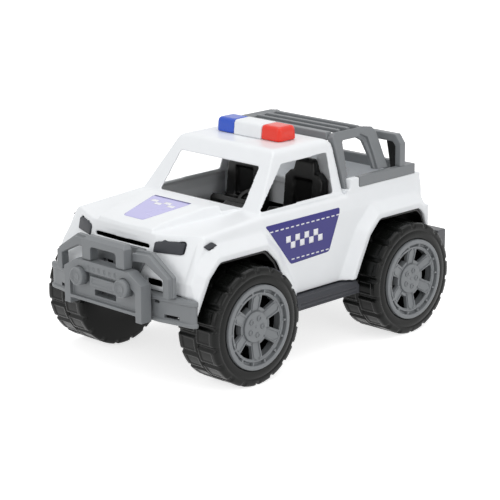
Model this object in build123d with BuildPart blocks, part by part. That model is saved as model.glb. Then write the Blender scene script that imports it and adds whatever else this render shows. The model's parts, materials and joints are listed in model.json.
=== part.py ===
"""Toy police pickup, a large moulded plastic push-along car on four free wheels.

Millimetres, +Z up. The nose points along -Y and the car's left side is +X.
The origin is on the floor, in the middle of the car's length and width.
"""

from build123d import *
from math import asin, cos, degrees, radians, sin, sqrt
import os

# Walls, and the clearance between pieces that sit on or in each other
wall = 2.5
fit = 0.2

# Wheels and axles
front_axle_y = -100.3
wheelbase = 222.6
rear_axle_y = front_axle_y + wheelbase
tyre_radius = 57.0
tyre_width = 50.0
tyre_inner_x = 68.0
tyre_outer_x = tyre_inner_x + tyre_width
tyre_wall = 3.0
tread_depth = 3.5
shoulder_width = 6.0
lug_count = 18
lug_width = 14.5
axle_radius = 2.5
running_fit = 0.06
bore_radius = axle_radius + running_fit
boss_radius = bore_radius + 3.2
axle_z = tyre_radius
tread_base = tyre_radius - tread_depth
# A lug's two corners lie on the tyre's radius, and the tyre rests on one of them
lug_top_half = lug_width / 2 - 0.8
lug_reach = sqrt(tyre_radius**2 - lug_top_half**2)
rest_turn = degrees(asin(lug_top_half / tyre_radius)) - 90

# Wheel caps
hub_radius = 40.7
hub_rim = 4.7
hub_dish = 8.0
hub_web = 4.0
hub_disc_radius = 15.0
hub_proud = 2.0
spoke_count = 6
hub_face_x = tyre_outer_x + hub_proud
hub_web_x = hub_face_x - hub_dish - hub_web
hub_back_x = tyre_inner_x
axle_half_length = hub_web_x

# Body
body_half_width = 91.0
flare_depth = 9.0
flare_margin = 22.0
flare_lean = 48.0
sill_z = 67.0
belt_z = 151.0
bed_top_z = 155.0
nose_length = 65.7
nose_y = front_axle_y - nose_length
hood_length = 105.0
cowl_y = nose_y + hood_length
cab_length = 118.0
cab_rear_y = cowl_y + cab_length
tail_length = 45.7
tail_y = rear_axle_y + tail_length
tail_corner = 2.5
nose_top_z = 144.0
hood_edge_radius = 6.0
bulge_rise = 7.5
roof_z = 204.0
roof_radius = 9.0
screen_lean = 0.72
side_lean = 0.316
cab_half_width = 81.0

# Plan of the nose at five levels: how far it lies behind its foremost line,
# in the middle, at the grille's end, at the headlight's end and at the side
grille_half_width = 44.0
headlight_end_x = 72.0
nose_levels = (
    (sill_z, 0, 0.5, 2, 4),
    (105, 0.5, 1, 3, 6),
    (130, 3, 3.8, 14, 19),
    (nose_top_z + 2, 6, 8, 20, 28),
    (bed_top_z + 20, 6, 8, 20, 28),
)

# Wheel arches, measured from the axle
arch_foot_half = 68.0
arch_knee_half = 44.0
arch_knee_z = 108.0
arch_top_half = 30.0
arch_top_z = 122.0
arch_foot_z = 60.0

# Windows
window_sill_z = 152.5
window_head_z = 190.0
screen_sill_z = 153.0
screen_head_z = 188.5
screen_half_width = 57.0
rear_window_half_width = 48.0

# Chassis
pan_thickness = 2.5
pan_z = sill_z - 1.0
well_wall_x = 64.0
pan_half_width = body_half_width - wall - fit
liner_outer_x = body_half_width + flare_depth - wall - fit
bracket_x = 50.0
bracket_width = 8.0
bracket_radius = 6.5
stay_x = 50.0

# Cabin
tray_z = 100.0
tray_half_width = 78.0
seat_x = 40.5
seat_half_width = 25.0
seat_front_y = cab_rear_y - 41.0
cushion_z = 134.0
shoulder_z = 168.0
headrest_z = 182.0
headrest_half_width = 12.0
dash_half_width = 74.0
steering_radius = 14.0
steering_x = 36.0
steering_y = cowl_y + 32.0
steering_z = 148.5

# Bed
bed_floor_z = 126.0
bed_half_width = body_half_width - 4.0
rim_height = 10.5
rim_width = 7.0
rim_front_y = cab_rear_y + 18.0
rim_rear_y = tail_y - 8.0
post_depth = 13.0

# Front end
headlight_z = 128.5
headlight_top_z = 136.4
headlight_rise = 3.3
headlight_depth = 7.0
nose_return = 6.0
bumper_z = 66.0
bumper_height = 26.0
bumper_depth = 9.0
bumper_wall = 3.0
bumper_half_width = 102.0
bumper_lip = 1.5
bumper_top_z = bumper_z + bumper_height
marker_base_x = body_half_width - 1.4
marker_depth = 2.4

# Front guard
guard_y = nose_y - bumper_depth - fit
guard_depth = 12.8
guard_front_y = guard_y - guard_depth
guard_top_z = 112.0
guard_half_width = 54.0
guard_leg = 8.0
guard_recess = 4.0
mark_count = 6
mark_pitch = 7.6
lamp_x = 31.0
lamp_z = 96.0
lamp_radius = 9.0
lamp_proud = 6.0
hoop_half_width = 29.5
hoop_leg = 11.5
hoop_depth = 10.0
hoop_top_z = 135.0
outer_layer = 4.4
panel_proud = 1.4

# Side steps and rear bumper
step_inner_x = 84.0
step_outer_x = 104.0
step_z = 54.0
bumper_rear_z = 72.0
bumper_rear_height = 21.0
tail_end_y = tail_y + 26.0

# Roof
bar_y = 18.0
bar_half_length = 44.0
bar_width = 26.0
bar_height = 14.5
bar_radius = 4.0
lens_length = 25.0

# Cage over the bed
cage_foot_x = 83.0
cage_depth = 8.0
cage_lean = 19.0
cage_rise = 57.0
cage_tube = 9.3
cage_leg = 8.0
cage_rear_leg = 17.0
cage_front_y = cab_rear_y + 1.5
hoop_front_y = tail_y - 31.7
cage_rear_y = hoop_front_y - 9.0
cage_gap = cage_rear_y - cage_front_y - cage_leg - cage_rear_leg
cage_gap_y = cage_front_y + cage_leg
cage_hoop_depth = 8.0
cage_hoop_leg = 7.0
cage_hoop_top_z = 198.0
slat_count = 3
slat_width = 4.2


def arch_outline(axle_y, margin):
    """Face of a wheel arch in the side view, grown outwards by a margin."""
    with BuildSketch(Plane.YZ) as outline:
        with BuildLine():
            Polyline(
                (axle_y - arch_foot_half, arch_foot_z - 40),
                (axle_y - arch_foot_half, arch_foot_z),
                (axle_y - arch_knee_half, arch_knee_z),
                (axle_y - arch_top_half, arch_top_z),
                (axle_y + arch_top_half, arch_top_z),
                (axle_y + arch_knee_half, arch_knee_z),
                (axle_y + arch_foot_half, arch_foot_z),
                (axle_y + arch_foot_half, arch_foot_z - 40),
                close=True,
            )
        make_face()
        if margin:
            offset(amount=margin, kind=Kind.INTERSECTION)
        levels = outline.vertices().group_by(Axis.Y)
        fillet(levels[-1] + levels[-2], 10 + margin / 2)
    return outline.sketch_local


def plan_block(half_width, inset):
    """The body seen from above, with its nose leaning back level by level."""
    with BuildPart() as block:
        for level, middle, grille_end, light_end, corner in nose_levels:
            with BuildSketch(Plane.XY.offset(level)):
                with BuildLine():
                    Polyline(
                        (0, nose_y + middle),
                        (grille_half_width, nose_y + grille_end),
                        (headlight_end_x, nose_y + light_end),
                        (half_width, nose_y + corner),
                        (half_width, tail_y - tail_corner),
                        (half_width - tail_corner, tail_y),
                        (0, tail_y),
                    )
                    mirror(about=Plane.YZ)
                make_face()
                if inset:
                    offset(amount=-inset, kind=Kind.INTERSECTION)
        loft(ruled=True)
    return block.part


def lower_body(inset):
    """Hood, doors and bed sides as one block, drawn in from the outside by an inset."""
    with BuildPart() as block:
        add(plan_block(body_half_width, inset))
        with BuildSketch(Plane.YZ):
            with BuildLine():
                Polyline(
                    (nose_y - 10, sill_z),
                    (nose_y - 10, nose_top_z - 6),
                    (nose_y + 4, nose_top_z),
                    (cowl_y, belt_z),
                    (cab_rear_y, belt_z),
                    (cab_rear_y, bed_top_z),
                    (tail_y + 10, bed_top_z),
                    (tail_y + 10, sill_z),
                    close=True,
                )
            make_face()
            if inset:
                offset(amount=-inset, kind=Kind.INTERSECTION)
                with Locations((0, sill_z)):
                    Rectangle(2 * (tail_y - nose_y), 20)
        extrude(amount=body_half_width + 20, both=True, mode=Mode.INTERSECT)
        with BuildSketch(Plane.XZ.offset(-tail_y - 20)):
            with BuildLine():
                Polyline(
                    (body_half_width, 0),
                    (body_half_width, 136),
                    (body_half_width - 4, belt_z),
                    (body_half_width - 4, bed_top_z + 20),
                    (0, bed_top_z + 20),
                )
                mirror(about=Plane.YZ)
                Line((-body_half_width, 0), (body_half_width, 0))
            make_face()
            if inset:
                offset(amount=-inset, kind=Kind.INTERSECTION)
        extrude(amount=tail_y - nose_y + 60, mode=Mode.INTERSECT)
        # Long soft edge between the hood and the side
        shoulders = [
            edge
            for edge in block.edges()
            if abs(edge.center().X) > headlight_end_x
            and belt_z - 12 < edge.center().Z < belt_z + 1
            and edge.center().Y < cab_rear_y
            and edge.bounding_box().size.Z < 8
            and edge.bounding_box().size.Y > 8
        ]
        fillet(shoulders, hood_edge_radius - inset)
    return block.part


def hood_bulge(inset):
    """Raised middle of the hood, narrow at the nose and wide at the windscreen."""
    foot_z = belt_z - 12
    with BuildPart() as bulge:
        with BuildSketch(Plane.XY.offset(foot_z)):
            with BuildLine():
                Polyline(
                    (0, nose_y + 4 + inset),
                    (40 - inset, nose_y + 6 + inset),
                    (62 - inset, cowl_y + 4),
                    (0, cowl_y + 4),
                )
                mirror(about=Plane.YZ)
            make_face()
        extrude(amount=belt_z + 10 - foot_z, taper=22)
        with BuildSketch(Plane.YZ):
            with BuildLine():
                Polyline(
                    (nose_y, foot_z),
                    (nose_y, nose_top_z + 1 - inset),
                    (nose_y + 22, nose_top_z + 7 - inset),
                    (cowl_y - 35, belt_z + bulge_rise - inset),
                    (cowl_y + 4, belt_z + bulge_rise - inset),
                    (cowl_y + 4, foot_z),
                    close=True,
                )
            make_face()
        extrude(amount=body_half_width, both=True, mode=Mode.INTERSECT)
    return bulge.part


def cab(inset):
    """Greenhouse: a tapered block from the belt to the roof."""
    foot_z = belt_z - 6 - inset
    top_z = roof_z - inset
    rise = top_z - foot_z
    rear_y = cab_rear_y - inset
    half_foot = cab_half_width + side_lean * (6 + inset) - inset
    half_head = half_foot - side_lean * rise
    front_foot = cowl_y - screen_lean * (6 + inset) + inset
    front_head = front_foot + screen_lean * rise
    with BuildPart() as block:
        with BuildSketch(Plane.YZ):
            with BuildLine():
                Polyline(
                    (front_foot, foot_z),
                    (front_head, top_z),
                    (rear_y, top_z),
                    (rear_y, foot_z),
                    close=True,
                )
            make_face()
        extrude(amount=half_foot, both=True)
        with BuildSketch(Plane.XZ.offset(-rear_y)):
            with BuildLine():
                Polyline(
                    (-half_foot, foot_z),
                    (-half_head, top_z),
                    (half_head, top_z),
                    (half_foot, foot_z),
                    close=True,
                )
            make_face()
        extrude(amount=rear_y - front_foot, mode=Mode.INTERSECT)
        fillet(block.faces().sort_by(Axis.Z)[-1].edges(), roof_radius - inset)
    return block.part


def flares(inset):
    """Raised bands round the four wheel arches, tapering out to the arches' edges."""
    foot_x = body_half_width - 6
    with BuildPart() as bands:
        for axle_y in (front_axle_y, rear_axle_y):
            with BuildSketch(Plane.YZ.offset(foot_x)):
                add(arch_outline(axle_y, flare_margin - inset))
            extrude(amount=body_half_width + flare_depth - inset - foot_x, taper=flare_lean)
        mirror(about=Plane.YZ)
        # The front flares end in the nose's own slope
        add(plan_block(body_half_width + flare_depth + 1, inset), mode=Mode.INTERSECT)
    return bands.part


def headlight_block(margin):
    """Left headlight, or with a margin the pocket that it sits in."""
    with BuildPart() as block:
        with BuildSketch(Plane.XY.offset(headlight_z - margin)):
            with BuildLine():
                Polyline(
                    (grille_half_width + 0.8, nose_y + 2.5),
                    (headlight_end_x + 1, nose_y + 13.5),
                    (headlight_end_x + 1, nose_y + 13.5 + headlight_depth),
                    (grille_half_width + 0.8, nose_y + 2.5 + headlight_depth),
                    close=True,
                )
            make_face()
            if margin:
                offset(amount=margin, kind=Kind.INTERSECTION)
        extrude(amount=headlight_top_z + headlight_rise - headlight_z + 2 * margin)
        with BuildSketch(Plane.XZ.offset(-tail_y)):
            with BuildLine():
                Polyline(
                    (grille_half_width - 2, headlight_z - 1),
                    (headlight_end_x + 4, headlight_z - 1),
                    (headlight_end_x + 4, headlight_top_z + headlight_rise + margin),
                    (grille_half_width + 12, headlight_top_z + 1.2 + margin),
                    (grille_half_width - 2, headlight_top_z + margin),
                    close=True,
                )
            make_face()
        extrude(amount=tail_y - nose_y + 20, mode=Mode.INTERSECT)
    return block.part


def marker_outline():
    """Slanted lozenge on the front fender, in the side view."""
    with BuildSketch(Plane.YZ) as outline:
        with BuildLine():
            Polyline(
                (nose_y + 22.9, 137.6),
                (nose_y + 33.1, 140.3),
                (nose_y + 39.4, 136.2),
                (nose_y + 27.9, 133.7),
                close=True,
            )
        make_face()
    return outline.sketch_local


def nose_openings():
    """Slots through the nose: the long one under the hood, and two pairs below it."""
    with BuildSketch(Plane.XZ) as openings:
        with Locations((0, 131.8)):
            Rectangle(74.8, 3.5)
        with Locations((13.5, 109), (-13.5, 109)):
            Rectangle(13, 4)
        with Locations((47.5, 100), (-47.5, 100)):
            Rectangle(19, 6)
    return openings.sketch_local


inner_nose = lower_body(wall)
inner_cab = cab(wall)
headlight_pocket = headlight_block(fit)

with BuildPart() as body_shell:
    add(lower_body(0))
    add(cab(0))
    add(flares(0))
    # Nothing of the rear flares reaches past the tail, nor above the bed sides
    with BuildSketch(Plane.XY.offset(sill_z)):
        with Locations((0, (nose_y + tail_y) / 2)):
            Rectangle(2 * (body_half_width + flare_depth), tail_y - nose_y)
    extrude(amount=200, mode=Mode.INTERSECT)
    add(hood_bulge(0))
    # Hollow front, under the hood and the roof
    add(inner_nose, mode=Mode.SUBTRACT)
    add(inner_cab, mode=Mode.SUBTRACT)
    add(hood_bulge(wall), mode=Mode.SUBTRACT)
    add(flares(wall), mode=Mode.SUBTRACT)
    for axle_y in (front_axle_y, rear_axle_y):
        for side in (1, -1):
            with BuildSketch(Plane.YZ.offset(side * well_wall_x)):
                add(arch_outline(axle_y, 0))
            extrude(amount=side * 60, mode=Mode.SUBTRACT)
    # Cargo bed, open above
    bed_length = tail_y - cab_rear_y - wall
    with BuildSketch(Plane.XY.offset(sill_z - 1)):
        with Locations((0, cab_rear_y + bed_length / 2)):
            Rectangle(2 * (bed_half_width - wall), bed_length)
    extrude(amount=150, mode=Mode.SUBTRACT)
    # White posts in front of the bed's rim
    with BuildSketch(Plane.XY.offset(bed_top_z)):
        with Locations(
            (bed_half_width - rim_width / 2, rim_front_y - fit - post_depth / 2),
            (-bed_half_width + rim_width / 2, rim_front_y - fit - post_depth / 2),
        ):
            Rectangle(rim_width, post_depth)
    extrude(amount=rim_height)
    # The nose is open behind the bumper, and has pockets for the headlights
    with BuildSketch(Plane.XY.offset(sill_z - 1)):
        with Locations((0, nose_y)):
            Rectangle(3 * body_half_width, 2 * nose_return)
    extrude(amount=bumper_top_z + fit - sill_z + 1, mode=Mode.SUBTRACT)
    add(headlight_pocket, mode=Mode.SUBTRACT)
    add(mirror(headlight_pocket, about=Plane.YZ), mode=Mode.SUBTRACT)
    with BuildSketch(Plane.XZ.offset(-(nose_y + 12))):
        add(nose_openings())
    extrude(amount=20, mode=Mode.SUBTRACT)
    # Seats of the fender markers
    for side in (1, -1):
        with BuildSketch(Plane.YZ.offset(side * marker_base_x)):
            add(marker_outline())
            offset(amount=fit, kind=Kind.INTERSECTION)
        extrude(amount=side * 20, mode=Mode.SUBTRACT)
    # Side windows
    with BuildSketch(Plane.YZ):
        with BuildLine():
            Polyline(
                (cowl_y + 2, window_sill_z),
                (cowl_y + 44, window_head_z),
                (cab_rear_y - 10, window_head_z + 1.5),
                (cab_rear_y - 13, window_sill_z + 1),
                close=True,
            )
        make_face()
    extrude(amount=body_half_width + 20, both=True, mode=Mode.SUBTRACT)
    # Windscreen
    with BuildSketch(Plane.XZ.offset(-cowl_y + 20)):
        with BuildLine():
            Polyline(
                (-screen_half_width, screen_sill_z),
                (screen_half_width, screen_sill_z),
                (screen_half_width - 3, screen_head_z),
                (-screen_half_width + 3, screen_head_z),
                close=True,
            )
        make_face()
    extrude(amount=-62, mode=Mode.SUBTRACT)
    # Rear window
    with BuildSketch(Plane.XZ.offset(-cab_rear_y + 8)):
        with Locations((0, (window_sill_z + window_head_z) / 2)):
            Rectangle(2 * rear_window_half_width, 32)
    extrude(amount=-20, mode=Mode.SUBTRACT)
    # Pressed panel in the tailgate, and a raised lamp frame at each side of it
    with BuildSketch(Plane.XZ.offset(-tail_y)):
        with Locations((0, (bumper_top_z + bed_top_z) / 2 + 2)):
            Rectangle(112, 40)
    extrude(amount=0.9, mode=Mode.SUBTRACT)
    with BuildSketch(Plane.XZ.offset(-tail_y + 0.1)):
        with Locations((74, 134), (-74, 134)):
            Rectangle(16, 22)
            Rectangle(11, 17, mode=Mode.SUBTRACT)
    extrude(amount=-1.3)


with BuildPart() as pan:
    # Floor plate with cut-outs for the wheels
    with BuildSketch(Plane.XY.offset(pan_z)):
        with BuildLine():
            Polyline(
                (0, nose_y + nose_return + fit),
                (well_wall_x, nose_y + nose_return + fit),
                (well_wall_x, front_axle_y + arch_foot_half),
                (pan_half_width, front_axle_y + arch_foot_half + 6),
                (pan_half_width, rear_axle_y - arch_foot_half - 6),
                (well_wall_x, rear_axle_y - arch_foot_half),
                (well_wall_x, tail_y - wall - fit),
                (0, tail_y - wall - fit),
            )
            mirror(about=Plane.YZ)
        make_face()
    extrude(amount=pan_thickness)
    # Wheel wells: a ceiling that follows the arch, and an inner wall
    for axle_y in (front_axle_y, rear_axle_y):
        with BuildSketch(Plane.YZ.offset(well_wall_x - pan_thickness)):
            add(arch_outline(axle_y, -fit))
            add(arch_outline(axle_y, -fit - pan_thickness), mode=Mode.SUBTRACT)
        extrude(amount=liner_outer_x - well_wall_x + pan_thickness)
        with BuildSketch(Plane.YZ.offset(well_wall_x - pan_thickness)):
            add(arch_outline(axle_y, -fit))
        extrude(amount=pan_thickness)
    # Walls up to the tray and the bed, on both sides of the middle
    for wall_y, wall_top in ((cowl_y + 10, tray_z), (cab_rear_y - 14, tray_z), (rear_axle_y, bed_floor_z)):
        with BuildSketch(Plane.XY.offset(pan_z)):
            with Locations((stay_x, wall_y)):
                Rectangle(pan_thickness, 20)
                Rectangle(10, pan_thickness)
        extrude(amount=wall_top - pan_z)
    # The wells end at the floor plate
    with BuildSketch(Plane.XY.offset(pan_z)):
        Rectangle(4 * body_half_width, 3 * wheelbase)
    extrude(amount=-100, mode=Mode.SUBTRACT)
    # Axle brackets under the plate
    for axle_y in (front_axle_y, rear_axle_y):
        with BuildSketch(Plane.YZ.offset(bracket_x)):
            with Locations((axle_y, axle_z)):
                Polygon(
                    (-bracket_radius, pan_z - axle_z + 1),
                    (-bracket_radius, -3),
                    (-3, -bracket_radius),
                    (3, -bracket_radius),
                    (bracket_radius, -3),
                    (bracket_radius, pan_z - axle_z + 1),
                    align=None,
                )
        extrude(amount=bracket_width)
    mirror(about=Plane.YZ)
    for axle_y in (front_axle_y, rear_axle_y):
        with Locations(Plane.YZ):
            with Locations((axle_y, axle_z)):
                Hole(axle_radius)
    with BuildSketch(Plane.XY):
        with Locations((0, (nose_y + tail_y) / 2)):
            Rectangle(2 * liner_outer_x, tail_y - nose_y - 2 * (nose_return + wall))
    extrude(amount=200, mode=Mode.INTERSECT)


def axle(axle_y):
    """Steel rod across the car, with its ends inside the two hubs."""
    with BuildPart() as rod:
        with BuildSketch(Plane.YZ.offset(-axle_half_length)):
            with Locations((axle_y, axle_z)):
                Circle(axle_radius)
        extrude(amount=2 * axle_half_length)
    return rod.part


def flats(axle_y, radius):
    """Regular outline round the axle, with one flat for each lug of the two rows."""
    with BuildSketch(Plane.YZ) as outline:
        with Locations((axle_y, axle_z)):
            RegularPolygon(radius, 2 * lug_count, rotation=rest_turn + 90 / lug_count)
    return outline.sketch_local


def tread_outline(axle_y, first_angle):
    """Cross-section of one tread row: flats, with a flat-topped lug on every second one."""
    with BuildSketch(Plane.YZ) as outline:
        add(flats(axle_y, tread_base))
        with Locations((axle_y, axle_z)):
            with PolarLocations(0, lug_count, start_angle=rest_turn + first_angle):
                Polygon(
                    (tread_base - 4, -lug_width / 2),
                    (lug_reach, -lug_top_half),
                    (lug_reach, lug_top_half),
                    (tread_base - 4, lug_width / 2),
                    align=None,
                )
    return outline.sketch_local


def tyre(axle_y):
    """Moulded tyre of the left side: two staggered rows of lugs, and a back disc."""
    row_inner_x = tyre_inner_x + shoulder_width
    row_outer_x = tyre_outer_x - shoulder_width
    middle_x = (row_inner_x + row_outer_x) / 2
    with BuildPart() as ring:
        with BuildSketch(Plane.YZ.offset(tyre_inner_x)):
            add(flats(axle_y, tread_base - 0.5))
        extrude(amount=tyre_width)
        chamfer(ring.faces().sort_by(Axis.X)[0].edges(), shoulder_width - 0.5)
        chamfer(ring.faces().sort_by(Axis.X)[-1].edges(), shoulder_width / 2)
        for start_x, end_x, first_angle in (
            (row_inner_x, middle_x, 0),
            (middle_x, row_outer_x, 180 / lug_count),
        ):
            with BuildSketch(Plane.YZ.offset(start_x)):
                add(tread_outline(axle_y, first_angle))
            extrude(amount=end_x - start_x)
        # Open on the outside for the cap, whose rim has the same flats
        with BuildSketch(Plane.YZ.offset(tyre_inner_x + tyre_wall)):
            add(flats(axle_y, hub_radius + fit))
        extrude(amount=tyre_width, mode=Mode.SUBTRACT)
        with BuildSketch(Plane.YZ.offset(tyre_inner_x - 1)):
            with Locations((axle_y, axle_z)):
                RegularPolygon(boss_radius + fit, 12)
        extrude(amount=tyre_wall + 2, mode=Mode.SUBTRACT)
    return ring.part


def hub(axle_y):
    """Six-spoke wheel cap of the left side, with the blind bore for the axle's end."""
    web_face_x = hub_web_x + hub_web
    spoke_end = hub_radius - hub_rim - 5
    with BuildPart() as cap:
        with BuildSketch(Plane.YZ.offset(hub_web_x)):
            add(flats(axle_y, hub_radius))
        extrude(amount=hub_face_x - hub_web_x)
        with BuildSketch(Plane.YZ.offset(hub_face_x)):
            add(flats(axle_y, hub_radius - hub_rim - 2.5))
        extrude(amount=-hub_dish, mode=Mode.SUBTRACT)
        chamfer(cap.faces().sort_by(Axis.X)[-1].inner_wires()[0].edges(), 2.5)
        with BuildSketch(Plane.YZ.offset(web_face_x)):
            with Locations((axle_y, axle_z)):
                RegularPolygon(hub_disc_radius, 24)
        extrude(amount=3)
        # A ridge along each spoke, and the windows between the spokes
        with BuildSketch(Plane.YZ.offset(web_face_x)):
            with Locations((axle_y, axle_z)):
                with PolarLocations(0, spoke_count):
                    Polygon(
                        (hub_disc_radius + 1, -3.2),
                        (spoke_end, -2),
                        (spoke_end, 2),
                        (hub_disc_radius + 1, 3.2),
                        align=None,
                    )
        extrude(amount=1.8)
        with BuildSketch(Plane.YZ.offset(hub_web_x)):
            with Locations((axle_y, axle_z)):
                with PolarLocations(0, spoke_count, start_angle=180 / spoke_count):
                    Polygon(
                        (hub_disc_radius + 3, -4),
                        (spoke_end - 1, -9.5),
                        (spoke_end, 0),
                        (spoke_end - 1, 9.5),
                        (hub_disc_radius + 3, 4),
                        align=None,
                    )
        extrude(amount=hub_web, mode=Mode.SUBTRACT)
        # Boss round the axle's end, from the web through the tyre's back disc
        with BuildSketch(Plane.YZ.offset(hub_back_x)):
            with Locations((axle_y, axle_z)):
                RegularPolygon(boss_radius, 12)
        extrude(amount=hub_web_x - hub_back_x)
        with BuildSketch(Plane.YZ.offset(hub_back_x)):
            with Locations((axle_y, axle_z)):
                Circle(bore_radius)
        extrude(amount=axle_half_length - hub_back_x + 0.5, mode=Mode.SUBTRACT)
    return cap.part


def bumper_outline(setback):
    """Plan of the front bumper, with its face drawn back by a setback."""
    face_y = nose_y - bumper_depth + setback
    end_x = bumper_half_width - setback
    with BuildSketch() as outline:
        with BuildLine():
            Polyline(
                (0, face_y),
                (60, face_y + 2),
                (88, face_y + 7),
                (end_x - 2, face_y + 10),
                (end_x, face_y + 13),
                (end_x, nose_y + nose_return - fit),
                (0, nose_y + nose_return - fit),
            )
            mirror(about=Plane.YZ)
        make_face()
    return outline.sketch_local


with BuildPart() as bumper_front:
    with BuildSketch(Plane.XY.offset(bumper_z)):
        add(bumper_outline(bumper_lip))
    extrude(amount=bumper_height)
    for ledge_z, ledge_height in ((bumper_z, 4), (bumper_top_z - 5, 5)):
        with BuildSketch(Plane.XY.offset(ledge_z)):
            add(bumper_outline(0))
        extrude(amount=ledge_height)
    with BuildSketch(Plane.XY.offset(bumper_z + bumper_wall)):
        add(bumper_outline(bumper_lip))
        offset(amount=-bumper_wall, kind=Kind.INTERSECTION)
        with Locations((0, nose_y + nose_return - bumper_wall)):
            Rectangle(
                2 * (bumper_half_width - bumper_lip - bumper_wall) - 1,
                2 * bumper_wall,
            )
    extrude(amount=bumper_height - 2 * bumper_wall, mode=Mode.SUBTRACT)
    with BuildSketch(Plane.XZ.offset(-nose_y)):
        with Locations((57.5, 86), (-57.5, 86)):
            Rectangle(7, 3.5)
        with Locations((74.5, 73), (-74.5, 73)):
            Rectangle(17, 3)
    extrude(amount=30, mode=Mode.SUBTRACT)

with BuildPart() as bumper_rear:
    with BuildSketch(Plane.XY.offset(bumper_rear_z)):
        with BuildLine():
            Polyline(
                (0, tail_y + fit),
                (tyre_inner_x - 6, tail_y + fit),
                (tyre_inner_x - 2, tail_y + 13),
                (bumper_half_width, tail_y + 13),
                (bumper_half_width, tail_y + 19),
                (bumper_half_width - 8, tail_end_y),
                (0, tail_end_y),
            )
            mirror(about=Plane.YZ)
        make_face()
    extrude(amount=bumper_rear_height)
    # A step pressed into its top, and a groove round its face
    with BuildSketch(Plane.XY.offset(bumper_rear_z + bumper_rear_height)):
        with Locations((0, tail_y + 15)):
            Rectangle(96, 12)
    extrude(amount=-2, mode=Mode.SUBTRACT)

with BuildPart() as guard_arch:
    with BuildSketch(Plane.XZ.offset(-guard_y)):
        with BuildLine():
            Polyline(
                (0, guard_top_z),
                (guard_half_width - 18, guard_top_z),
                (guard_half_width, guard_top_z - 10),
                (guard_half_width, bumper_z),
                (guard_half_width - guard_leg, bumper_z),
                (guard_half_width - guard_leg, bumper_z + 6),
                (0, bumper_z + 6),
            )
            mirror(about=Plane.YZ)
        make_face()
    extrude(amount=guard_depth)
    # The panel lies back inside the raised border
    panel_half = guard_half_width - guard_leg
    with BuildSketch(Plane.XZ.offset(-guard_front_y)):
        with BuildLine():
            Polyline(
                (0, guard_top_z - 10.5),
                (panel_half - 13, guard_top_z - 10.5),
                (panel_half, guard_top_z - 18.5),
                (panel_half, bumper_z + 9),
                (0, bumper_z + 9),
            )
            mirror(about=Plane.YZ)
        make_face()
        with Locations((lamp_x, lamp_z), (-lamp_x, lamp_z)):
            RegularPolygon(lamp_radius + fit, 24)
        with Locations((0, lamp_z - 2.2)):
            Rectangle(34, 9, mode=Mode.SUBTRACT)
    extrude(amount=-guard_recess, mode=Mode.SUBTRACT)
    # Plain marks along the top bar, and the dished middle plate
    with BuildSketch(Plane.XZ.offset(-guard_front_y)):
        with Locations((0, guard_top_z - 6.5)):
            with GridLocations(mark_pitch, 1, mark_count, 1):
                Rectangle(3.4, 4.5)
    extrude(amount=-1, mode=Mode.SUBTRACT)
    with BuildSketch(Plane.XZ.offset(-guard_front_y)):
        with Locations((0, lamp_z - 2.2)):
            Rectangle(30, 5)
    extrude(amount=-1, mode=Mode.SUBTRACT)
    # Openings: the winch slot, the gaps beside the plate and beyond the lamps
    with BuildSketch(Plane.XZ.offset(-guard_y)):
        with Locations((0, 81.8)):
            Rectangle(30, 5.5)
        for side in (1, -1):
            Polygon(
                (side * 41, 97),
                (side * 45, 92.5),
                (side * 45, 84),
                (side * 42.2, 88),
                align=None,
            )
    extrude(amount=guard_depth + 1, mode=Mode.SUBTRACT)

with BuildPart() as guard_hoop:
    hoop_back_y = guard_front_y + 2 + hoop_depth
    with BuildSketch(Plane.YZ) as hoop_side:
        with BuildLine():
            Polyline(
                (guard_front_y + 2, guard_top_z + fit),
                (guard_front_y + 2, hoop_top_z - 3),
                (guard_front_y + 7, hoop_top_z),
                (hoop_back_y, hoop_top_z),
                (hoop_back_y, guard_top_z + fit),
                close=True,
            )
        make_face()
    extrude(amount=hoop_half_width, both=True)
    with BuildSketch(Plane.XZ.offset(-hoop_back_y - 1)):
        with BuildLine():
            Polyline(
                (0, hoop_top_z),
                (hoop_half_width - 4, hoop_top_z),
                (hoop_half_width, hoop_top_z - 4),
                (hoop_half_width, guard_top_z),
                (hoop_half_width - hoop_leg, guard_top_z),
                (hoop_half_width - hoop_leg, hoop_top_z - 11),
                (hoop_half_width - hoop_leg - 2, hoop_top_z - 9),
                (0, hoop_top_z - 9),
            )
            mirror(about=Plane.YZ)
        make_face()
    extrude(amount=hoop_depth + 2, mode=Mode.INTERSECT)

with BuildPart() as guard_outer:
    # Two layers: the front one is narrower than the one behind it
    for layer_y, layer_depth, grown in (
        (nose_y - panel_proud - fit - outer_layer, outer_layer, 0),
        (nose_y - panel_proud - fit, outer_layer, 2.4),
    ):
        with BuildSketch(Plane.XZ.offset(-layer_y)):
            with BuildLine():
                Polyline(
                    (hoop_half_width + 0.5, hoop_top_z - 8 + grown),
                    (51.6, hoop_top_z - 6.7 + grown),
                    (78 + grown, hoop_top_z - 24.2 + grown / 2),
                    (78 + grown, bumper_top_z + fit),
                    (70.6, bumper_top_z + fit),
                    (71, hoop_top_z - 26),
                    (47, hoop_top_z - 14.5),
                    (hoop_half_width + 0.5, hoop_top_z - 16),
                    close=True,
                )
            make_face()
        extrude(amount=layer_depth)
    mirror(about=Plane.YZ)

with BuildPart() as guard_lamps:
    with BuildSketch(Plane.XZ.offset(-(guard_front_y + guard_recess - fit))):
        with Locations((lamp_x, lamp_z), (-lamp_x, lamp_z)):
            RegularPolygon(lamp_radius, 24)
    extrude(amount=guard_recess + lamp_proud - fit)
    with BuildSketch(Plane.XZ.offset(-(guard_front_y - lamp_proud))):
        with Locations((lamp_x, lamp_z), (-lamp_x, lamp_z)):
            RegularPolygon(lamp_radius - 1.6, 24)
    extrude(amount=-1.2, mode=Mode.SUBTRACT)

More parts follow.
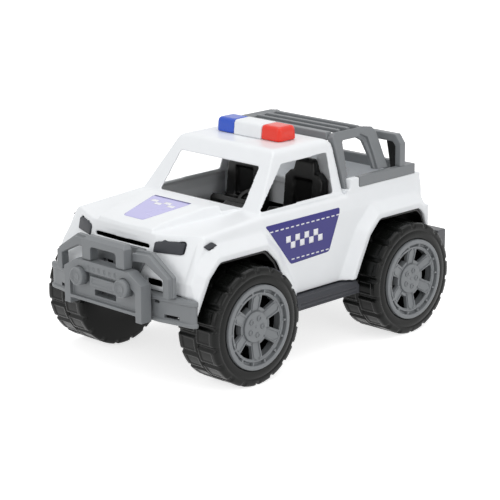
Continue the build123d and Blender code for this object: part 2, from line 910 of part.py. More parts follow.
with BuildPart() as grille_panel:
    with BuildSketch(Plane.XZ.offset(-(nose_y + 4))):
        with BuildLine():
            Polyline((0, 129.5), (34.5, 129.5), (34.5, 115), (28.7, 105), (0, 105))
            mirror(about=Plane.YZ)
        make_face()
        with Locations((13.5, 109), (-13.5, 109)):
            Rectangle(13, 4, mode=Mode.SUBTRACT)
    extrude(amount=4 + panel_proud)
    # Its back follows the nose
    add(plan_block(body_half_width, -fit), mode=Mode.SUBTRACT)

with BuildPart() as fender_marker:
    with BuildSketch(Plane.YZ.offset(marker_base_x + fit / 2)):
        add(marker_outline())
    extrude(amount=marker_depth)

with BuildPart() as side_step:
    step_rear_y = rear_axle_y - arch_foot_half + 2.7
    step_length = step_rear_y - (front_axle_y + arch_foot_half)
    with BuildSketch(Plane.XZ.offset(-step_rear_y)):
        with BuildLine():
            Polyline(
                (step_inner_x, step_z),
                (step_outer_x, step_z),
                (step_outer_x, step_z + 8),
                (step_outer_x - 4, pan_z - fit),
                (step_inner_x, pan_z - fit),
                close=True,
            )
        make_face()
    extrude(amount=step_length)
    # Long ribs on its face and its top
    with BuildSketch(Plane.XZ.offset(-step_rear_y + 4)):
        with Locations((step_outer_x, step_z + 2.2), (step_outer_x, step_z + 5.8)):
            Rectangle(2, 1.6)
        with Locations((step_outer_x - 8, pan_z), (step_outer_x - 5.5, pan_z)):
            Rectangle(1.2, 2)
    extrude(amount=step_length - 8, mode=Mode.SUBTRACT)


def bar_outline():
    """Cross-section of the roof light bar."""
    with BuildSketch(Plane.YZ) as outline:
        with BuildLine():
            Polyline(
                (bar_y - bar_width / 2, roof_z + fit),
                (bar_y - bar_width / 2 + 1.5, roof_z + fit + bar_height),
                (bar_y + bar_width / 2 - 1.5, roof_z + fit + bar_height),
                (bar_y + bar_width / 2, roof_z + fit),
                close=True,
            )
        make_face()
        fillet(outline.vertices().group_by(Axis.Y)[-1], bar_radius)
    return outline.sketch_local


with BuildPart() as light_bar:
    with BuildSketch(Plane.YZ):
        add(bar_outline())
    extrude(amount=bar_half_length - lens_length - fit, both=True)


def bar_lens(side):
    """Coloured end of the light bar, bevelled round its outer end."""
    with BuildPart() as lens:
        with BuildSketch(Plane.YZ.offset(side * (bar_half_length - lens_length))):
            add(bar_outline())
        extrude(amount=side * lens_length)
        end = lens.faces().sort_by(Axis.X)[-1 if side > 0 else 0]
        rim = [edge for edge in end.edges() if edge.center().Z > roof_z + 1]
        chamfer(rim, 3)
    return lens.part


with BuildPart() as bed_tub:
    bed_inner_y = cab_rear_y + fit
    bed_outer_y = tail_y - wall - fit
    tub_half = bed_half_width - wall - fit
    with BuildSketch(Plane.XY.offset(bed_floor_z)):
        with Locations((0, (bed_inner_y + bed_outer_y) / 2)):
            Rectangle(2 * tub_half, bed_outer_y - bed_inner_y)
    extrude(amount=bed_top_z - bed_floor_z)
    with BuildSketch(Plane.XY.offset(bed_floor_z + wall)):
        with Locations((0, (bed_inner_y + bed_outer_y) / 2)):
            Rectangle(2 * tub_half - 2 * wall, bed_outer_y - bed_inner_y - 2 * wall)
    extrude(amount=60, mode=Mode.SUBTRACT)

with BuildPart() as bed_rim:
    with BuildSketch(Plane.XY.offset(bed_top_z + 0.05)):
        with Locations((0, (rim_front_y + rim_rear_y) / 2)):
            Rectangle(2 * bed_half_width, rim_rear_y - rim_front_y)
        with Locations((0, (rim_front_y + rim_rear_y - rim_width) / 2)):
            Rectangle(
                2 * (bed_half_width - rim_width),
                rim_rear_y - rim_front_y - rim_width + 1,
                mode=Mode.SUBTRACT,
            )
        with Locations((0, rim_front_y)):
            Rectangle(2 * (bed_half_width - rim_width), 2, mode=Mode.SUBTRACT)
    extrude(amount=rim_height)


def cage_plane(depth):
    """Leaning plane of the cage's left side, a depth inwards from its outer face."""
    lean = radians(cage_lean)
    outwards = (cos(lean), 0, sin(lean))
    origin = Vector(cage_foot_x, 0, bed_top_z) - Vector(*outwards) * depth
    return Plane(origin=origin, x_dir=(0, 1, 0), z_dir=outwards)


def cage_side():
    """Side frame of the cage: front leg, top tube and curved rear leg in two layers."""
    top = cage_rise
    under = cage_rise - cage_tube
    foot = (rim_height + 0.1) / cos(radians(cage_lean))
    post_top = foot + 1.5
    rear_front_y = cage_gap_y + cage_gap
    with BuildPart() as frame:
        with BuildSketch(cage_plane(cage_depth)):
            with BuildLine():
                Polyline(
                    (cage_front_y, -4),
                    (cage_front_y, top - 4),
                    (cage_front_y + 4, top),
                    (cage_gap_y + 0.89 * cage_gap, top),
                    (cage_rear_y - 10, top - 2),
                    (cage_rear_y - 5.5, top - 7),
                    (cage_rear_y - 4, top - 16),
                    (cage_rear_y, foot - 4),
                    (rear_front_y, foot - 4),
                    (cage_gap_y + 0.954 * cage_gap, under - 20),
                    (cage_gap_y + 0.856 * cage_gap, under - 4),
                    (cage_gap_y + 0.71 * cage_gap, under),
                    (cage_gap_y + 0.13 * cage_gap, under),
                    (cage_gap_y + 0.09 * cage_gap, under - 2),
                    (cage_gap_y, post_top),
                    (cage_front_y + 2.8, post_top - 4),
                    (cage_front_y + 2, -4),
                    close=True,
                )
            make_face()
        extrude(amount=cage_depth)
        # The rear leg's outer layer stands proud behind a stepped front edge
        with BuildSketch(cage_plane(cage_depth - cage_depth / 2)):
            with BuildLine():
                Polyline(
                    (rear_front_y + 1.5, foot - 4),
                    (cage_gap_y + 0.954 * cage_gap + 2.5, under - 20),
                    (cage_gap_y + 0.856 * cage_gap + 4, under - 2),
                    (cage_gap_y + 0.71 * cage_gap, under + 3),
                    (cage_gap_y + 0.71 * cage_gap, under - 10),
                    (cage_gap_y + 0.9 * cage_gap - 4, under - 20),
                    (cage_gap_y + 0.9 * cage_gap - 4, foot - 4),
                    close=True,
                )
            make_face()
        extrude(amount=cage_depth, mode=Mode.SUBTRACT)
        # Level feet, on the bed's side in front and on the rim behind
        with BuildSketch(Plane.XY.offset(bed_top_z + 0.1)):
            Rectangle(4 * body_half_width, 4 * tail_y)
        extrude(amount=-60, mode=Mode.SUBTRACT)
        with BuildSketch(Plane.XY.offset(bed_top_z + rim_height + 0.15)):
            with Locations((0, rim_front_y - post_depth - 2 * fit + tail_y)):
                Rectangle(4 * body_half_width, 2 * tail_y)
        extrude(amount=-60, mode=Mode.SUBTRACT)
    return frame.part


with BuildPart() as cage_rack:
    # A deep bar over the cab's rear edge, then slats towards the bed
    rack_top_z = bed_top_z + cage_rise * cos(radians(cage_lean)) - 0.6
    slat_pitch = 0.95 * cage_gap / slat_count
    with BuildSketch(Plane.XY.offset(rack_top_z - 8)):
        with Locations((0, cage_front_y + cage_leg / 2)):
            Rectangle(2 * cage_foot_x, cage_leg)
    extrude(amount=8)
    with BuildSketch(Plane.XY.offset(rack_top_z - 4)):
        for slat in range(slat_count):
            with Locations((0, cage_gap_y + slat_pitch * (slat + 1) - slat_width / 2)):
                Rectangle(2 * cage_foot_x, slat_width)
    extrude(amount=4)
    # The bars end at the side frames' leaning inner faces
    side_face = cage_plane(cage_depth + 0.1)
    split(bisect_by=side_face, keep=Keep.BOTTOM)
    other_face = Plane(
        origin=(-side_face.origin.X, 0, side_face.origin.Z),
        x_dir=(0, 1, 0),
        z_dir=(-side_face.z_dir.X, 0, side_face.z_dir.Z),
    )
    split(bisect_by=other_face, keep=Keep.BOTTOM)

with BuildPart() as cage_hoop:
    hoop_foot_z = bed_top_z + rim_height + 0.1
    hoop_half = bed_half_width
    with BuildSketch(Plane.XZ.offset(-(hoop_front_y + cage_hoop_depth))):
        with BuildLine():
            Polyline(
                (0, cage_hoop_top_z),
                (hoop_half - 7, cage_hoop_top_z),
                (hoop_half, cage_hoop_top_z - 9),
                (hoop_half, hoop_foot_z),
                (hoop_half - cage_hoop_leg, hoop_foot_z),
                (hoop_half - cage_hoop_leg, cage_hoop_top_z - 12),
                (hoop_half - 10.5, cage_hoop_top_z - 8),
                (0, cage_hoop_top_z - 8),
            )
            mirror(about=Plane.YZ)
        make_face()
    extrude(amount=cage_hoop_depth)

with BuildPart() as hoop_panels:
    # Upright black panels inside the hoop's legs, narrower towards their feet
    panel_outer_x = hoop_half - cage_hoop_leg - fit
    with BuildSketch(Plane.XZ.offset(-(hoop_front_y + cage_hoop_depth - 2))):
        for side in (1, -1):
            Polygon(
                (side * (panel_outer_x - 13), cage_hoop_top_z - 8 - fit),
                (side * (panel_outer_x - 5), cage_hoop_top_z - 8 - fit),
                (side * panel_outer_x, cage_hoop_top_z - 13),
                (side * panel_outer_x, hoop_foot_z - rim_height),
                (side * (panel_outer_x - 6), hoop_foot_z - rim_height),
                align=None,
            )
    extrude(amount=cage_hoop_depth - 4)

with BuildPart() as cabin_tray:
    with BuildSketch(Plane.XY.offset(tray_z)):
        with BuildLine():
            Polyline(
                (0, cowl_y),
                (well_wall_x - pan_thickness - fit, cowl_y),
                (well_wall_x - pan_thickness - fit, front_axle_y + arch_knee_half + 12),
                (tray_half_width, front_axle_y + arch_knee_half + 12),
                (tray_half_width, cab_rear_y - wall - fit),
                (0, cab_rear_y - wall - fit),
            )
            mirror(about=Plane.YZ)
        make_face()
    extrude(amount=wall)


def seat(side):
    """Bucket seat with rounded shoulders and a headrest, moulded in one."""
    seat_back_y = cab_rear_y - wall - 1
    floor_z = tray_z + wall
    with BuildPart() as chair:
        with BuildSketch(Plane.YZ.offset(side * seat_x - seat_half_width)):
            with BuildLine():
                Polyline(
                    (seat_front_y + 3, floor_z),
                    (seat_front_y, cushion_z - 4),
                    (seat_front_y + 4, cushion_z),
                    (seat_back_y - 14, cushion_z - 5),
                    (seat_back_y - 9, headrest_z - 3),
                    (seat_back_y - 6, headrest_z),
                    (seat_back_y - 1, headrest_z),
                    (seat_back_y, headrest_z - 14),
                    (seat_back_y, floor_z),
                    close=True,
                )
            make_face()
        extrude(amount=2 * seat_half_width)
        # Front view: wide back with sloping shoulders, narrow headrest
        with BuildSketch(Plane.XZ.offset(-cab_rear_y)):
            with Locations((side * seat_x, 0)):
                Polygon(
                    (-seat_half_width, floor_z),
                    (seat_half_width, floor_z),
                    (seat_half_width, shoulder_z - 6),
                    (seat_half_width - 6, shoulder_z),
                    (headrest_half_width + 2, shoulder_z + 1),
                    (headrest_half_width, headrest_z - 3),
                    (headrest_half_width - 3, headrest_z + 1),
                    (3 - headrest_half_width, headrest_z + 1),
                    (-headrest_half_width, headrest_z - 3),
                    (-headrest_half_width - 2, shoulder_z + 1),
                    (6 - seat_half_width, shoulder_z),
                    (-seat_half_width, shoulder_z - 6),
                    align=None,
                )
        extrude(amount=90, mode=Mode.INTERSECT)
        # Side bolsters left standing beside a sunken middle
        with BuildSketch(Plane.XZ.offset(-(seat_back_y - 8))):
            with Locations((side * seat_x, (cushion_z + shoulder_z) / 2 - 5)):
                Rectangle(2 * headrest_half_width, shoulder_z - cushion_z - 4)
        extrude(amount=20, mode=Mode.SUBTRACT)
    return chair.part


with BuildPart() as dashboard:
    with BuildSketch(Plane.YZ.offset(-dash_half_width)):
        with BuildLine():
            Polyline(
                (cowl_y + 1, tray_z + wall),
                (cowl_y + 1, belt_z - 3),
                (cowl_y + 10, belt_z - 0.5),
                (cowl_y + 20, belt_z - 4),
                (cowl_y + 23, belt_z - 12),
                (cowl_y + 16, tray_z + wall),
                close=True,
            )
        make_face()
    extrude(amount=2 * dash_half_width)
    # Hood over the instruments, in front of the steering wheel
    with BuildSketch(Plane.YZ.offset(steering_x - steering_radius)):
        with BuildLine():
            Polyline(
                (cowl_y + 8, belt_z - 4),
                (cowl_y + 13, belt_z + 2),
                (cowl_y + 19, belt_z + 1),
                (cowl_y + 19, belt_z - 8),
                close=True,
            )
        make_face()
    extrude(amount=2 * steering_radius)
    # Narrower below, between the wheel wells
    for side in (1, -1):
        with BuildSketch(Plane.XY.offset(tray_z)):
            with Locations((side * (well_wall_x + 14), cowl_y + 10)):
                Rectangle(36, 60)
        extrude(amount=arch_top_z + 1 - tray_z, mode=Mode.SUBTRACT)

with BuildPart() as steering_wheel:
    with BuildSketch(Plane.XY):
        RegularPolygon(steering_radius, 24)
        RegularPolygon(steering_radius - 3.5, 24, mode=Mode.SUBTRACT)
        Rectangle(2 * steering_radius - 4, 5)
        RegularPolygon(4, 8)
    extrude(amount=3)
    with BuildSketch(Plane.XY):
        RegularPolygon(2.5, 8)
    extrude(amount=-8.5)

wheel_place = Location((steering_x, steering_y, steering_z), (60, 0, 0))

pieces = {
    "body_shell": body_shell.part,
    "chassis_pan": pan.part,
    "axle_front": axle(front_axle_y),
    "axle_rear": axle(rear_axle_y),
    "bumper_front": bumper_front.part,
    "bumper_rear": bumper_rear.part,
    "guard_arch": guard_arch.part,
    "guard_hoop": guard_hoop.part,
    "guard_outer": guard_outer.part,
    "guard_lamps": guard_lamps.part,
    "grille_panel": grille_panel.part,
    "light_bar": light_bar.part,
    "light_lens_red": bar_lens(1),
    "light_lens_blue": bar_lens(-1),
    "bed_tub": bed_tub.part,
    "bed_rim": bed_rim.part,
    "cage_rack": cage_rack.part,
    "cage_hoop": cage_hoop.part,
    "hoop_panels": hoop_panels.part,
    "cabin_tray": cabin_tray.part,
    "dashboard": dashboard.part,
    "steering_wheel": wheel_place * steering_wheel.part,
    "seat_left": seat(1),
    "seat_right": seat(-1),
}

# Pieces of the left side, and their mirror images on the right
paired = {
    "side_step": side_step.part,
    "headlight": headlight_block(0),
    "fender_marker": fender_marker.part,
    "cage_side": cage_side(),
    "tyre_front": tyre(front_axle_y),
    "tyre_rear": tyre(rear_axle_y),
    "hub_front": hub(front_axle_y),
    "hub_rear": hub(rear_axle_y),
}
for name, piece in paired.items():
    pieces[name + "_left"] = piece
    pieces[name + "_right"] = mirror(piece, about=Plane.YZ)

os.makedirs("parts", exist_ok=True)
for name, piece in pieces.items():
    piece.label = name
    export_step(piece, "parts/" + name + ".step")
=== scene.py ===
"""Looks of the toy police pickup: finishes, wheels, decals, moulded trim, floor, light and camera.

Metres, +Z up. The nose points along -Y and the car's left side is +X.
"""
import json
from math import cos, pi, radians, sin

import bmesh
import bpy
from mathutils import Matrix, Vector
from mathutils.bvhtree import BVHTree

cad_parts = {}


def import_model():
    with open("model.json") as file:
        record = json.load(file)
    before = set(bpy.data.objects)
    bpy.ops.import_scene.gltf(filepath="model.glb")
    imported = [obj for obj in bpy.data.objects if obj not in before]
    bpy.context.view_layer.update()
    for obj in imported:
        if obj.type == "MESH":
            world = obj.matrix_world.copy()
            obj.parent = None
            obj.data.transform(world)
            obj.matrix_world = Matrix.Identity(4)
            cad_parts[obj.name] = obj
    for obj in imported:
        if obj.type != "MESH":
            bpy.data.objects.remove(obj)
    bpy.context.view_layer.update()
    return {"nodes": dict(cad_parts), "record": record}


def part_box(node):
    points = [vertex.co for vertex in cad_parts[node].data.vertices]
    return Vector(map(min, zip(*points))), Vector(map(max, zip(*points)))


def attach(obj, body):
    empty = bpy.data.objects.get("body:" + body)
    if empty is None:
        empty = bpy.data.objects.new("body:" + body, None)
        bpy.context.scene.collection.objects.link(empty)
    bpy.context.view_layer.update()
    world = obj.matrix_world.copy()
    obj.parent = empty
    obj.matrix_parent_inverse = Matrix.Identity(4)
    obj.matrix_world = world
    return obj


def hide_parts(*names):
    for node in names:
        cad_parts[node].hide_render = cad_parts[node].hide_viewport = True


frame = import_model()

MM = 0.001

# Edge rounding of the moulded pieces
EDGE_RADIUS = 0.5 * MM
EDGE_ANGLE = radians(28)
SMOOTH_ANGLE = radians(32)

# Wheels, in mm, with the turns about the axle in degrees
AXLE_Z = 57.0
LUG_COUNT = 18
LUG_PITCH = 360 / LUG_COUNT
LUG_HALF_TURN = 7.3
TREAD_BASE = 54.6
TREAD_RELIEF = 2.4
FRAME_DEPTH = 0.6
TREAD_MIDDLE_X = 93.0
ROW_WIDTH = 21.0
BLOCK_SLOPE = 0.9
BLOCK_SLOPE_TURN = 1.0
FRAME_WIDTH = 3.6
FRAME_TURN = 2.2
FRAME_SLOPE = 0.6
TREAD_EDGE = 2.0
SHOULDER_INSET = 1.9
SHOULDER_RADIUS = 51.0
HUB_FACE_X = 120.0
HUB_RADIUS = 40.7
CHANNEL_RADIUS = 36.2
WEB_RADIUS = 31.5
WEB_RIM_X = 117.0
WEB_MIDDLE_X = 113.5
WINDOW_FOOT = 18.6
WINDOW_HEAD = 30.6
WINDOW_FOOT_TURN = 12.5
WINDOW_HEAD_TURN = 17.6
WEB_THICKNESS = 4.0
DISC_RADIUS = 15.0
SPOKE_COUNT = 6
CHANNEL_RIBS = 14
BOSS_COUNT = 5
BOSS_CIRCLE = 8.4
FOOT_STEPS = 3
RIB_TAPER = 0.55

# Turn of the first ring boss from the wheel's lowest point, in radians
BOSS_FIRST_TURN = 0.2

# Ridge beside a window: foot, knee and head, each as a radius in mm and degrees from the window's middle
RIDGE_POINTS = ((DISC_RADIUS + 1.2, 15.5), (WINDOW_HEAD - 1.5, 21.0), (WEB_RADIUS - 0.5, 26.5))
RIDGE_WIDTH = 1.5
RIDGE_HEIGHT = 0.9

# Tyre's cross-section behind and in front of the tread, as x and radius in mm
TYRE_BACK = [
    (71.2, 40.9), (71.2, 6.2), (68.2, 6.2), (68.0, 6.5), (68.0, 49.0), (68.4, 50.4),
    (68.4, 51.5), (68.8, 53.2), (69.8, 54.2), (71.2, 54.6),
]
TYRE_SIDE = [
    (115.6, 54.5), (116.8, 54.0), (117.6, 53.0), (117.9, 51.6), (117.9, 50.4), (117.5, 49.8),
    (117.5, 49.3), (118.0, 48.6), (118.0, 42.2), (117.6, 41.3), (116.8, 40.9), (71.2, 40.9),
]

# Where the tread's surface is divided: across a row in mm, and round a lug in degrees
ROW_STEPS = (0.0, 0.9, 1.8, 3.0, 3.6, 4.2, 10.5, 16.8, 17.4, 18.0, 19.2, 20.1)
LUG_STEPS = (-8.3, -7.3, -5.7, -5.1, -4.5, -2.7, -1.7, 0.0, 1.7, 2.7, 4.5, 5.1, 5.7, 7.3, 8.3, 10.0)

# Printed panels, as y and z on the doors and x and y on the hood, in mm
FILM_STEP = 2.5
FILM_THICKNESS = 0.12
PANEL_LIFT = 0.12
DOOR_MARK_LIFT = 0.26
HOOD_MARK_LIFT = 0.24
PANEL_CORNER = 3.0
DOOR_PANEL = [(-62, 141), (43, 141), (26, 100), (-28, 98)]
HOOD_PANEL = [(-14, -147), (14, -147), (26, -97), (-26, -97)]
DASH_HEIGHT = 1.2

# Rows of dashes on the doors: count, first middle, step, height on the door, length of a dash
DASH_ROWS = ((14, -54.5, 7.15, 134.6, 4.2), (8, -25.0, 6.9, 102.6, 4.0))
CHEQUER_START = (-31.5, 123.2)
CHEQUER_STEP = 6.4
CHEQUER_SIDE = 6.3
CHEQUER_COLUMNS = 8
HOOD_MARKS = 4
HOOD_MARK_START = (-13.5, -106.5)
HOOD_MARK_STEP = (9, 4.5)
HOOD_MARK_SIZE = (8.8, 4.4)
HOOD_EDGE_LINE = (0, -96.2, 50, 1.4)

# Specular level of the dark plastics, below the usual 0.5
SHEEN = {"tyre_plastic": 0.22, "black_plastic": 0.35, "dark_grey_plastic": 0.4, "panel_print": 0.4}

# Starts of the names of nodes that have a shape of their own in this scene
RESHAPED = ("tyre", "hub", "bumper", "headlight", "guard_lamps")

# Mouldings whose edges are melted: grid step in mm, smoothing passes, most triangles
MELTED = {
    "body_shell": (1.0, 8, 185000),
    "cage_side_left": (0.7, 4, 16000),
    "cage_side_right": (0.7, 4, 16000),
    "cage_hoop": (0.7, 4, 14000),
    "cage_rack": (0.7, 4, 22000),
    "bed_rim": (0.7, 3, 16000),
    "guard_hoop": (0.5, 5, 16000),
    "guard_outer": (0.5, 4, 22000),
    "guard_arch": (0.5, 4, 40000),
    "side_step_left": (0.6, 4, 18000),
    "side_step_right": (0.6, 4, 18000),
    "fender_marker_left": (0.4, 5, 3000),
    "fender_marker_right": (0.4, 5, 3000),
    "seat_left": (1.0, 10, 14000),
    "seat_right": (1.0, 10, 14000),
    "dashboard": (1.0, 8, 16000),
    "light_bar": (0.7, 6, 14000),
    "light_lens_red": (0.6, 45, 14000),
    "light_lens_blue": (0.6, 45, 14000),
}

# Forms added behind the rear wheels and in front of the windscreen, as y and z in mm
REAR_QUARTER = [(152.3, 123.5), (160, 113.5), (163.6, 104), (165.2, 97), (168, 97), (168, 123.5)]
COWL = [(-83, 149.8), (-83, 152.6), (-60, 152.6), (-60, 149.8)]
REAR_LINER = [
    (150, 121), (158, 112.6), (161.8, 104), (162.6, 101), (163.8, 101.5), (163.2, 104.5), (159.4, 113.4),
    (151.4, 122.2),
]

# Their reach across the car, in mm
WELL_WALL_X = 62
QUARTER_X = 99.6
LINER_X = 97
COWL_HALF_WIDTH = 53

# Bumpers, in mm: the front one's plan as x and setback, and the levels of both as z and inset
BUMPER_STEP = (60, 2.0)
BUMPER_KNEE = (84, 6.5)
BUMPER_CORNER = (93, 7.5)
BUMPER_END_X = 102
BUMPER_LEVELS = (
    (66, 1.6), (66.4, 0.8), (67, 0.25), (68, 0), (69.6, 0), (70.4, 0.5), (71, 1.5),
    (86.4, 1.5), (87, 0.5), (87.6, 0), (90, 0), (91, 0.25), (91.6, 0.8), (92, 1.6),
)
REAR_BUMPER_LEVELS = ((72, 1.2), (72.4, 0.4), (73.2, 0), (91.6, 0), (92.5, 0.4), (93, 1.2))
REAR_BUMPER_END_X = 101.6
REAR_BUMPER_DEPTH = 13.0
BUMPER_EDGE = 0.4 * MM

# Openings of the bumpers: middle, with its y measured from the bumper's face, and size, in mm
BUMPER_HOLLOW = ((0, 13, 79), (156, 10, 18))
BUMPER_SLOTS = (((57.5, 6, 86), (7, 16, 3.5)), ((74.5, 8, 73), (17, 16, 3.2)))
REAR_BUMPER_STEP = ((0, 15, 93.5), (96, 12, 5))

# Left headlight from the front, as x and z in mm, and its levels: how far out and how far drawn in
HEADLIGHT = [
    (44.2, 128.2), (72.2, 128.2), (73.0, 138.6), (56.5, 138.9), (53.0, 140.2), (51.0, 138.2), (44.4, 137.2),
]
HEADLIGHT_MIDDLE = (58.5, 133.5)
HEADLIGHT_HALF = (14, 5.5)
HEADLIGHT_CORNER = 1.2
HEADLIGHT_LEVELS = ((-5, 0), (0.5, 0), (1.1, 0.35), (1.3, 1.0))

# The nose's face there, in mm: a start as x, z and setback, then its sweep over a width and its lean
NOSE_Y = -166.0
NOSE_START = (44, 130, 3.8)
NOSE_SWEEP = 10.2
NOSE_SWEEP_WIDTH = 28
NOSE_LEAN = 0.27

# Radius of the guard lamps, in mm
LAMP_RADIUS = 9.0

# Backdrop, and lamps as name, place, size and watts
FLOOR_WHITE = 0.80
FLOOR_GLOW = 0.72
WORLD_LEVEL = 0.55
LAMPS = (
    ("top", (0.1, 0.1, 1.6), (1.6, 1.6), 9.4),
    ("key", (-0.3, -1.6, 0.9), (1.2, 1.0), 6),
    ("fill", (1.7, -0.2, 0.8), (1.2, 1.0), 7),
)

# The photograph's camera: azimuth, elevation and roll in degrees, place in metres
CAMERA_TURNS = (44.653, 15.344, -0.284)
CAMERA_PLACE = (1.2972, -1.3043, 0.5940)
SENSOR_WIDTH = 36
FOCAL_PIXELS = 1908.1
PHOTO_PIXELS = 500

# Plastics: spread of the tint and of the gloss, and scales of the flow marks and the skin
PLASTIC_IOR = 1.49
TINT_LOW = 0.96
TINT_HIGH = 1.04
GLOSS_BELOW = 0.05
GLOSS_ABOVE = 0.07
FLOW_SCALE = 38.0
SKIN_SCALE = 900.0
SKIN_DEPTH = 0.2 * MM

# Finishes: colour, roughness, strength of the moulding texture
FINISHES = {
    "white_plastic": ((0.845, 0.865, 0.885), 0.32, 0.04),
    "grey_plastic": ((0.195, 0.206, 0.216), 0.40, 0.10),
    "dark_grey_plastic": ((0.030, 0.032, 0.039), 0.50, 0.12),
    "black_plastic": ((0.006, 0.006, 0.006), 0.30, 0.08),
    "red_plastic": ((0.80, 0.030, 0.012), 0.22, 0.04),
    "blue_plastic": ((0.018, 0.085, 0.55), 0.22, 0.04),
    "steel_rod": ((0.50, 0.50, 0.51), 0.35, 0.10),
    "tyre_plastic": ((0.0035, 0.004, 0.0035), 0.24, 0.08),
    # Rear bumper: the mid-grey plastic darkened, as painted shade for a bumper that sits in shadow
    "bumper_grey_painted_shade": ((0.082, 0.084, 0.092), 0.34, 0.10),
    "panel_print": ((0.034, 0.029, 0.20), 0.30, 0.02),
    "lilac_print": ((0.52, 0.50, 0.80), 0.25, 0.02),
    "white_print": ((0.86, 0.86, 0.90), 0.30, 0.02),
}


def plastic(name, colour, roughness, grain):
    """Moulded plastic: faint flow marks in its colour, uneven gloss and a fine skin."""
    material = bpy.data.materials.new(name)
    material.use_nodes = True
    nodes = material.node_tree.nodes
    links = material.node_tree.links
    shader = nodes["Principled BSDF"]
    shader.inputs["Metallic"].default_value = 1.0 if name == "steel_rod" else 0.0
    shader.inputs["IOR"].default_value = PLASTIC_IOR
    shader.inputs["Specular IOR Level"].default_value = SHEEN.get(name, 0.5)
    place = nodes.new("ShaderNodeTexCoord")

    flow = nodes.new("ShaderNodeTexNoise")
    flow.inputs["Scale"].default_value = FLOW_SCALE
    flow.inputs["Detail"].default_value = 4.0
    links.new(place.outputs["Object"], flow.inputs["Vector"])
    tint = nodes.new("ShaderNodeMix")
    tint.data_type = "RGBA"
    tint.inputs["A"].default_value = (*[c * TINT_LOW for c in colour], 1)
    tint.inputs["B"].default_value = (*[min(c * TINT_HIGH, 1) for c in colour], 1)
    links.new(flow.outputs["Fac"], tint.inputs["Factor"])
    links.new(tint.outputs["Result"], shader.inputs["Base Color"])

    gloss = nodes.new("ShaderNodeMapRange")
    gloss.inputs["To Min"].default_value = roughness - GLOSS_BELOW
    gloss.inputs["To Max"].default_value = roughness + GLOSS_ABOVE
    links.new(flow.outputs["Fac"], gloss.inputs["Value"])
    links.new(gloss.outputs["Result"], shader.inputs["Roughness"])

    skin = nodes.new("ShaderNodeTexNoise")
    skin.inputs["Scale"].default_value = SKIN_SCALE
    skin.inputs["Detail"].default_value = 2.0
    links.new(place.outputs["Object"], skin.inputs["Vector"])
    bump = nodes.new("ShaderNodeBump")
    bump.inputs["Strength"].default_value = grain
    bump.inputs["Distance"].default_value = SKIN_DEPTH
    links.new(skin.outputs["Fac"], bump.inputs["Height"])
    links.new(bump.outputs["Normal"], shader.inputs["Normal"])
    return material


MATERIALS = {name: plastic(name, *finish) for name, finish in FINISHES.items()}
SLOT_OF = {part["node"]: part["material_slot"] for part in frame["record"]["subparts"]}


def round_edges(piece, radius):
    """Joins the facets of flat faces and rounds the edges between them."""
    weld = piece.modifiers.new("weld", "WELD")
    weld.merge_threshold = 0.001 * MM
    flat = piece.modifiers.new("flat faces", "DECIMATE")
    flat.decimate_type = "DISSOLVE"
    flat.angle_limit = radians(0.4)
    bevel = piece.modifiers.new("round edges", "BEVEL")
    bevel.width = radius
    bevel.segments = 2
    bevel.limit_method = "ANGLE"
    bevel.angle_limit = EDGE_ANGLE
    bevel.use_clamp_overlap = True
    bevel.miter_outer = "MITER_ARC"
    smooth = piece.modifiers.new("smooth", "WEIGHTED_NORMAL")
    smooth.keep_sharp = True
    smooth.weight = 80


def soften(piece, voxel, passes, triangles):
    """Melts a moulding's sharp edges into soft ones, as a toy's mould leaves them."""
    weld = piece.modifiers.new("weld", "WELD")
    weld.merge_threshold = 0.001 * MM
    grid = piece.modifiers.new("even grid", "REMESH")
    grid.mode = "VOXEL"
    grid.voxel_size = voxel
    melt = piece.modifiers.new("melt edges", "SMOOTH")
    melt.factor = 0.5
    melt.iterations = passes
    faces = len(evaluated_mesh(piece).polygons)
    thin = piece.modifiers.new("thin out", "DECIMATE")
    thin.ratio = min(1.0, triangles / (2 * faces))
    apply_modifiers(piece)
    for face in piece.data.polygons:
        face.use_smooth = True


def evaluated_mesh(piece):
    """The piece's mesh with its modifiers."""
    bpy.context.view_layer.update()
    return piece.evaluated_get(bpy.context.evaluated_depsgraph_get()).data


def apply_modifiers(piece):
    """Leaves the piece with the mesh that its modifiers make."""
    mesh = bpy.data.meshes.new_from_object(piece.evaluated_get(bpy.context.evaluated_depsgraph_get()))
    piece.modifiers.clear()
    piece.data = mesh


def add_piece(name, mesh, material, body="root", stands_for=()):
    """New piece of the visual model, on its body, with its finish."""
    piece = bpy.data.objects.new(name, mesh)
    bpy.context.collection.objects.link(piece)
    mesh.materials.clear()
    mesh.materials.append(material)
    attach(piece, body)
    if stands_for:
        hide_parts(*stands_for)
    return piece


def finished(name, shape, smooth=True):
    """Mesh from a bmesh, with its normals outwards."""
    bmesh.ops.remove_doubles(shape, verts=shape.verts, dist=0.002 * MM)
    bmesh.ops.recalc_face_normals(shape, faces=shape.faces)
    mesh = bpy.data.meshes.new(name)
    shape.to_mesh(mesh)
    shape.free()
    for face in mesh.polygons:
        face.use_smooth = smooth
    return mesh


def lathe(shape, profile, steps, place=Matrix()):
    """Adds a profile of (x, radius) points in mm, turned about the X axis."""
    rings = []
    for x, radius in profile:
        ring = []
        for step in range(steps):
            angle = 2 * pi * step / steps
            point = Vector((x, radius * sin(angle), -radius * cos(angle)))
            ring.append(shape.verts.new(place @ (point * MM)))
        rings.append(ring)
    for near, far in zip(rings, rings[1:]):
        for step in range(steps):
            after = (step + 1) % steps
            shape.faces.new((near[step], near[after], far[after], far[step]))


def stack(shape, rings, place=Matrix()):
    """Adds a closed solid through rings of points in mm, each ring with as many points."""
    loops = [[shape.verts.new(place @ (Vector(point) * MM)) for point in ring] for ring in rings]
    count = len(loops[0])
    for near, far in zip(loops, loops[1:]):
        for step in range(count):
            after = (step + 1) % count
            shape.faces.new((near[step], near[after], far[after], far[step]))
    shape.faces.new(loops[0])
    shape.faces.new(list(reversed(loops[-1])))


